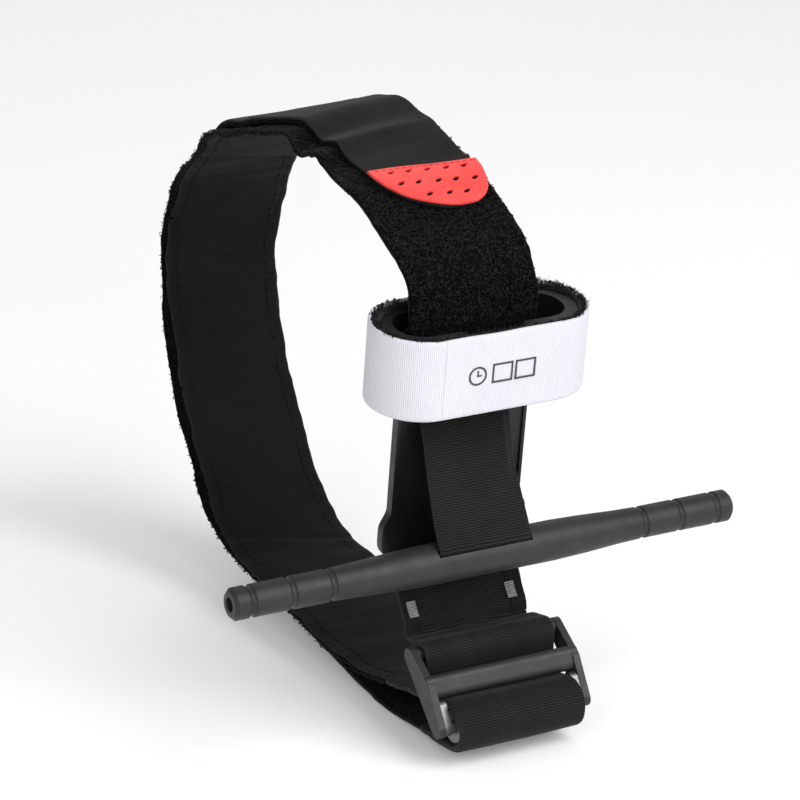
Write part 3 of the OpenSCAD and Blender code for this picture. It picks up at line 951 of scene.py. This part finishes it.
def buckling(s, x):
    """How far the webbing bulges out above and below the crease before the buckle."""
    valley = 15.0 + 1.2 * bell(x, 4, 6) - 0.9 * ramp(x, -6, -18) + 0.5 * waves(0 * s, x, 1, 6, 91)
    above = (0.7 + 0.4 * waves(0 * s, x, 1, 9, 92)) * bell(s, valley - 3.6, 2.0)
    below = (0.5 + 0.4 * waves(0 * s, x, 1, 8, 94)) * bell(s, valley + 3.2, 1.8)
    crease = -0.7 * bell(s, valley, 1.0)
    return (above + crease + below) * ramp(s, 3, 7)


def anchor_shift(s, x):
    return -0.1 - 0.2 * ramp(s, 8, 20) + edge_wave(93, 0.2)(s, x)


def anchor_pieces():
    s = spaced(anchor_track, RIB / 6)
    front = lambda s, x: -0.10 * ribs(s)
    width = lambda s: ANCHOR_W + 1.4 + 2.2 * ramp(s, 15, 22)
    web = strip("webbing_front", anchor_track, s, width, front, ANCHOR_T, MATERIALS["webbing"],
                columns=48, shift=anchor_shift, lift=lambda s, x: -buckling(s, x))
    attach(web, "band")
    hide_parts("anchor_webbing")
    s = spaced(anchor_track, 0.5, 0.2, anchor_track.where(lambda y, z: y < 9.8))
    for side, name in ((-1, "binding_left"), (1, "binding_right")):
        middle = side * (ANCHOR_W / 2 - 1.8)
        obj = strip(name, anchor_track, s, 4.9, -0.42, 0.1, MATERIALS["binding"], columns=12,
                    shift=total(middle, anchor_shift), lift=lambda s, x: -buckling(s, x + middle))
        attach(obj, "band")
        if side == -1:
            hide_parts("edge_bindings")


def tack_piece():
    """Two bar tacks, each of close rows of thread."""
    top, rows, height, width = 5.9, 8, 4.5, 2.7
    centres = [side * (ANCHOR_W / 2 - 2.8) - 0.7 for side in (-1, 1)]
    s = np.tile(top + (np.arange(rows) + 0.5) * height / rows, 2)
    x = np.repeat(centres, rows)
    straight = lambda s, x: 0 * s
    lower = lambda s, x: -buckling(s, x)
    start, end = (surface_points(anchor_track, s, x + half, -0.5, straight, lower)
                  for half in (-width / 2, width / 2))
    h = standing(anchor_track, s, -0.18)
    obj = threads("tack_threads", start, end, h, 0.23, MATERIALS["grey_thread"], sides=6, rings=9)
    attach(obj, "band")
    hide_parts("bar_tacks")


# ---- Ribbon ----

SLOT_DIR = unit(SLOT_PITCH)
MOUTH = -6.3 * SLOT_DIR
upper_track = Track([plate_point(59.5, -0.75), (10.6, 38.5, 12), (0.9, 12.5, 22), (*MOUTH, 0.8),
                     tuple(-4.9 * SLOT_DIR)])
lower_track = Track([tuple(4.9 * SLOT_DIR), (19.2, -10.3, 2), (17.5, -13.5, 8), (14.5, -19.2)])
core_track = Track([tuple(-5.0 * SLOT_DIR), tuple(5.0 * SLOT_DIR)])


def ribbon_strip(name, track, start, end, curl=0.0, aside=lambda s: RIBBON_ASIDE):
    s = spaced(track, RIB / 6, start, end)
    ribbed = lambda s, x: 0.11 * ribs(s)
    obj = strip(name, track, s, RIBBON_W + 0.5, total(RIBBON_T / 2, ribbed, curl),
                total(-RIBBON_T / 2, curl), MATERIALS["webbing"], columns=40,
                shift=lambda s, x: aside(s) + 0.15 * waves(s, x, 8, 40, 101))
    return obj


def side_place(track, s):
    """Point of a track at length s, in metres in the middle of the part."""
    y, z = track.at(np.array([float(s)]))[0][0] * MM
    return (0, y, z)


def ribbon_pieces():
    # The ribbon's outer side is on the right of a track that runs down, so its sign is turned.
    length = upper_track.length
    split = round(upper_track.where(lambda y, z: z < 13.5) / RIB) * RIB
    roll = lambda s, x: -2.6 * ramp(x, 9.5, 14) * ramp(s, 14, 30) * ramp(s, split + 6, split - 12)
    dip = lambda s, x: -0.35 * bell(s, split - 16 + 0.35 * x, 3.0) * ramp(x, 0, 9)
    curl = lambda s, x: -(roll(s, x) + dip(s, x))
    aside = lambda s: -0.6 + (RIBBON_ASIDE + 0.6) * np.clip((s - 18) / (length - 22), 0, 1)
    joined = side_place(upper_track, split)
    band_part = ribbon_strip("ribbon_front", upper_track, 0.0, split, curl, aside)
    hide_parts("ribbon_upper")
    side_place(upper_track, 18)
    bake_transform(band_part)
    rod_part = ribbon_strip("ribbon_mouth", upper_track, split, length, curl, aside)
    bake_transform(rod_part)
    core = ribbon_strip("ribbon_in_slot", core_track, 0.0, core_track.length)
    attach(core, "windlass")
    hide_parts("ribbon_core")
    cut = 10 * RIB
    joined = side_place(lower_track, cut)
    out_part = ribbon_strip("ribbon_exit", lower_track, 0.0, cut)
    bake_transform(out_part)
    low_part = ribbon_strip("ribbon_return", lower_track, cut, lower_track.length)
    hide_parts("ribbon_lower")
    low_end = side_place(lower_track, lower_track.length - 5)
    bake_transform(low_part)


# ---- Time strap ----

def strap_plan(length):
    """Point (x, depth) and outward normal of the strap's outer face at a length along it.

    Length 0 is the front panel's left end, where the flap's fold is.
    """
    straight = 2 * (STRAP_HALF - STRAP_ROUND)
    bend = math.pi * STRAP_ROUND
    length = np.mod(length, 2 * straight + 2 * bend)
    x, t, nx, nt = (np.zeros_like(length) for _ in range(4))
    half = straight / 2
    front = length < straight
    x[front], t[front], nt[front] = length[front] - half, STRAP_MID - STRAP_ROUND, -1
    back_start, back_end = straight + bend, 2 * straight + bend
    back = (length >= back_start) & (length < back_end)
    x[back], t[back], nt[back] = half - (length[back] - back_start), STRAP_MID + STRAP_ROUND, 1
    right = (length >= straight) & (length < back_start)
    bends = ((right, straight, half, -90), (length >= back_end, back_end, -half, 90))
    for part, start, cx, turn in bends:
        a = np.radians(turn) + (length[part] - start) / STRAP_ROUND
        nx[part], nt[part] = np.cos(a), np.sin(a)
        x[part] = cx + STRAP_ROUND * np.cos(a)
        t[part] = STRAP_MID + STRAP_ROUND * np.sin(a)
    return x, t, nx, nt


STRAP_AROUND = 4 * (STRAP_HALF - STRAP_ROUND) + 2 * math.pi * STRAP_ROUND
FLAP_END = 2 * (STRAP_HALF - STRAP_ROUND) + math.pi / 2 * STRAP_ROUND


def strap_points(length, height, d):
    """Points on the strap at a length along it, a height up it and a depth d inside its face."""
    length, height, d = np.broadcast_arrays(length, height, d)
    x, t, nx, nt = strap_plan(length.astype(float))
    x, t = x - d * nx, t - d * nt
    s = STRAP_Z + height
    y = PLATE_Y + t * math.cos(LEAN) - s * math.sin(LEAN)
    z = s * math.cos(LEAN) + t * math.sin(LEAN)
    return np.stack([x, y, z], -1)


def strap_layer(name, start, end, d0, d1, drop, material, seed):
    """A layer of the strap between two depths; drop shortens it at top and bottom."""
    lengths = np.linspace(start, end, max(2, round((end - start) / 0.5)))[:, None]
    inner_rows = 26
    rows = np.concatenate([[0, 0.012], np.linspace(0.03, 0.97, inner_rows), [0.988, 1]])[None, :]
    full = np.concatenate([[0.35, 0.8], np.ones(inner_rows), [0.8, 0.35]])[None, :]
    height = drop + (STRAP_H - 2 * drop) * rows
    height = height + 0.18 * waves(lengths, height, 9, 60, seed) * (rows > 0.5)
    middle, thick = (d0 + d1) / 2, (d1 - d0) / 2 * full
    bow = 0.10 * waves(lengths, height, 14, 12, seed + 1) * np.sin(math.pi * rows)
    outer = strap_points(lengths, height, middle - thick + bow)
    inner = strap_points(lengths, height, middle + thick + bow)
    verts, faces = grid_shell(outer, inner)
    cloth = np.stack(np.broadcast_arrays(lengths, height, 0 * height), -1)
    weave = np.concatenate([cloth.reshape(-1, 3)] * 2)
    return make_object(name, verts, faces, material, weave)


def strap_loops(name, start, end, count, body):
    """Hooks of the black layer that stand out of the strap's rim."""
    length = rng.uniform(start, end, count)
    on_bend = np.abs(strap_plan(length)[0]) > STRAP_HALF - STRAP_ROUND
    keep = on_bend | (rng.random(count) < 0.35)
    length, bend = length[keep], on_bend[keep]
    k = len(length)
    depth = rng.uniform(0.9, WEB_T + HOOK_T - 0.3, k) - np.where(bend, 0.5, 0.0) * rng.random(k)
    height = STRAP_H - 0.25 + rng.uniform(-0.2, 0.2, k)
    span = rng.uniform(0.15, 0.4, k)
    a = strap_points(length - span, height, depth)
    b = strap_points(length + span, height, depth + rng.uniform(-0.5, 0.5, k))
    _, _, nx, nt = strap_plan(length)
    sideways = rng.uniform(-0.3, 0.3, k)
    up = np.stack([sideways, np.full(k, -math.sin(LEAN)), np.full(k, math.cos(LEAN))], -1)
    out = np.stack([nx, nt * math.cos(LEAN), nt * math.sin(LEAN)], -1)
    tall = rng.uniform(0.25, 0.9, k)
    h = tall[:, None] * (up + np.where(bend, rng.uniform(-0.2, 0.8, k), 0.1)[:, None] * out)
    obj = threads(name, a, b, h, 0.075, MATERIALS["hook"], sides=4, rings=6)
    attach(obj, body)


def fringe_piece():
    """White thread ends of the web at the right-hand bend's back."""
    count = 90
    length = rng.uniform(FLAP_END + 1, FLAP_END + 18, count)
    depth = rng.uniform(-0.1, 0.7, count)
    a = strap_points(length, np.full(count, STRAP_H - 0.4), depth)
    stray_end = rng.uniform(-0.5, 0.5, (count, 3))
    b = a + stray_end + np.array((0, -0.1, 0.9)) * rng.uniform(0.3, 1.2, count)[:, None]
    h = rng.uniform(-0.3, 0.3, (count, 3))
    obj = threads("strap_fringe", a, b, h, 0.06, MATERIALS["fringe"], sides=4, rings=5)
    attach(obj, "band")


def strap_pieces():
    gap = 0.03
    flap = (gap, FLAP_END - gap, "strap_flap", "flap")
    fixed = (FLAP_END + gap, STRAP_AROUND - gap, "band", "strap")
    for start, end, body, word in (flap, fixed):
        web = strap_layer(f"{word}_cloth", start, end, 0.0, WEB_T, 0.0, MATERIALS["strap"], 111)
        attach(web, body)
        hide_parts(f"{word}_web")
        hook = strap_layer(f"{word}_pile", start, end, WEB_T + 0.02, WEB_T + HOOK_T, 0.35,
                           MATERIALS["hook"], 115)
        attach(hook, body)
        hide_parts(f"{word}_hook")
        strap_loops(f"{word}_hooks", start + 0.5, end - 0.5, int(9 * (end - start)), body)
    fringe_piece()


PRINT_LINE = 0.55
PRINT_DEPTHS = (0.02, -0.06)


def printed_bar(a, b, width=PRINT_LINE):
    """Vertices and faces of a printed stroke between two points of the strap's face."""
    a, b = np.array(a, float), np.array(b, float)
    d = (b - a) / np.linalg.norm(b - a)
    side = np.array((-d[1], d[0])) * width / 2
    verts = [(*end, depth) for depth in PRINT_DEPTHS for end in (a - side, b - side, b + side, a + side)]
    faces = [(3, 2, 1, 0), (4, 5, 6, 7), (0, 1, 5, 4), (1, 2, 6, 5), (2, 3, 7, 6), (3, 0, 4, 7)]
    return verts, faces


def printed_ring(centre, radius, steps=40):
    """Vertices and faces of a printed ring."""
    verts, faces = [], []
    for i in range(steps):
        a = 2 * math.pi * i / steps
        for r in (radius, radius - PRINT_LINE):
            place = centre[0] + r * math.cos(a), centre[1] + r * math.sin(a)
            verts += [(*place, depth) for depth in PRINT_DEPTHS]
        p, q = 4 * i, 4 * ((i + 1) % steps)
        faces += [(p + u, p + v, q + v, q + u) for u, v in ((0, 1), (1, 3), (3, 2), (2, 0))]
    return verts, faces


def print_piece():
    """Write-on field printed on the strap: a clock face and two blank boxes."""
    clock_x, middle, hand = -7.5, 11.4, 0.45
    marks = [printed_ring((clock_x, middle), 2.7),
             printed_bar((clock_x, middle - 0.2), (clock_x, middle + 1.5), hand),
             printed_bar((clock_x - 0.2, middle), (clock_x + 1.2, middle), hand)]
    box_w, box_h = 5.6, 5.0
    low, high = middle - box_h / 2, middle + box_h / 2
    for x0 in (-2.9, 3.9):
        x1 = x0 + box_w
        marks += [printed_bar((x0, y), (x1, y)) for y in (low, high)]
        marks += [printed_bar((x, low - PRINT_LINE / 2), (x, high + PRINT_LINE / 2)) for x in (x0, x1)]
    verts, faces = [], []
    for points, quads in marks:
        faces += [tuple(len(verts) + i for i in quad) for quad in quads]
        verts += points
    x, height, depth = np.array(verts).T
    points = strap_points(x + STRAP_HALF - STRAP_ROUND, height, depth - 0.10)
    obj = make_object("strap_mark", points, faces, MATERIALS["print"], smooth=False)
    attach(obj, "strap_flap")


# ---- CAD nodes that stay ----

def soften(node, width, material):
    """Rounds a moulded node's edges and paints it."""
    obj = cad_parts[node]
    obj.data.materials.clear()
    obj.data.materials.append(material)
    for polygon in obj.data.polygons:
        polygon.material_index = 0
    obj.data.shade_smooth()
    if width:
        bevel = obj.modifiers.new("edges", "BEVEL")
        bevel.width = width * MM
        bevel.segments = 2
        bevel.limit_method = "ANGLE"
        bevel.angle_limit = math.radians(40)
        bevel.harden_normals = True
    else:
        obj.data.set_sharp_from_angle(angle=math.radians(35))


soften("windlass_rod", 0, MATERIALS["rod"])
soften("base_plate", 0.25, MATERIALS["black"])
# The clip takes the darker copy of the black plastic, which is painted shade.
soften("windlass_clip", 0.5, MATERIALS["clip"])
soften("buckle_frame", 0.5, MATERIALS["buckle"])
soften("buckle_insert", 0.3, MATERIALS["steel"])

tape_piece()
pile_piece()
lining_pieces()
stitching_piece()
run_pieces()
tail_pieces()
tip_piece()
tip_seam_piece()
fold_piece()
anchor_pieces()
tack_piece()
ribbon_pieces()
strap_pieces()
print_piece()


# ---- Camera, floor and light ----

def camera_axes(azimuth, elevation):
    """Right, up and backward directions of a camera that looks at the part."""
    a, e = math.radians(azimuth), math.radians(elevation)
    back = Vector((-math.sin(a) * math.cos(e), -math.cos(a) * math.cos(e), math.sin(e)))
    right = Vector((math.cos(a), -math.sin(a), 0))
    return right, back.cross(right), back


def make_camera():
    distance, aside, above = 985, -23, 40.7
    right, up, back = camera_axes(28.5, 19.2)
    data = bpy.data.cameras.new("camera")
    data.sensor_width = 36
    data.lens = 166.7
    camera = bpy.data.objects.new("camera", data)
    place = (back * distance + right * aside + up * above) * MM
    turn = Matrix((right, up, back)).transposed().to_4x4()
    camera.matrix_world = Matrix.Translation(place) @ turn
    link(camera)
    bpy.context.scene.camera = camera


def make_floor():
    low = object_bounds()[0].z
    mesh = bpy.data.meshes.new("floor")
    size = 3.0
    corners = [(-size, -size, low), (size, -size, low), (size, size, low), (-size, size, low)]
    mesh.from_pydata(corners, [], [(0, 1, 2, 3)])
    floor = bpy.data.objects.new("floor", mesh)
    paint = Paint("floor", 0.8, 0.1)
    paint.base(paint.colour(paint.noise(400.0), (0.3, 0.90), (0.7, 0.92)))
    paint.shader.inputs["Emission Color"].default_value = (1, 1, 1, 1)
    paint.shader.inputs["Emission Strength"].default_value = 0.12
    mesh.materials.append(paint.material)
    link(floor)


def make_light(name, place, target, size, power):
    data = bpy.data.lights.new(name, "AREA")
    data.shape = "DISK"
    data.size = size
    data.energy = power
    light = bpy.data.objects.new(name, data)
    light.location = place
    light.rotation_euler = (Vector(place) - Vector(target)).to_track_quat("Z", "Y").to_euler()
    link(light)


def make_world():
    """Soft even light, and a white backdrop behind the floor."""
    world = bpy.data.worlds.new("studio")
    world.use_nodes = True
    tree = world.node_tree
    soft = tree.nodes["Background"]
    soft.inputs["Color"].default_value = (0.97, 0.98, 1, 1)
    soft.inputs["Strength"].default_value = 0.4
    backdrop = tree.nodes.new("ShaderNodeBackground")
    backdrop.inputs["Strength"].default_value = 1.0
    seen = tree.nodes.new("ShaderNodeLightPath")
    mix = tree.nodes.new("ShaderNodeMixShader")
    tree.links.new(seen.outputs["Is Camera Ray"], mix.inputs[0])
    tree.links.new(soft.outputs[0], mix.inputs[1])
    tree.links.new(backdrop.outputs[0], mix.inputs[2])
    tree.links.new(mix.outputs[0], tree.nodes["World Output"].inputs["Surface"])
    bpy.context.scene.world = world


make_camera()
make_floor()
make_world()
make_light("key", (0.45, -0.95, 0.95), (0, 0.06, 0.02), 1.2, 17)
make_light("front", (-0.25, -1.2, 0.42), (0, 0, 0), 0.6, 3)
make_light("fill", (-1.0, -0.5, 0.7), (0, 0.06, 0.02), 1.0, 4)
make_light("rim", (0.3, 1.0, 0.9), (0, 0.06, 0.04), 0.9, 3)
bpy.context.scene.view_settings.view_transform = "Standard"
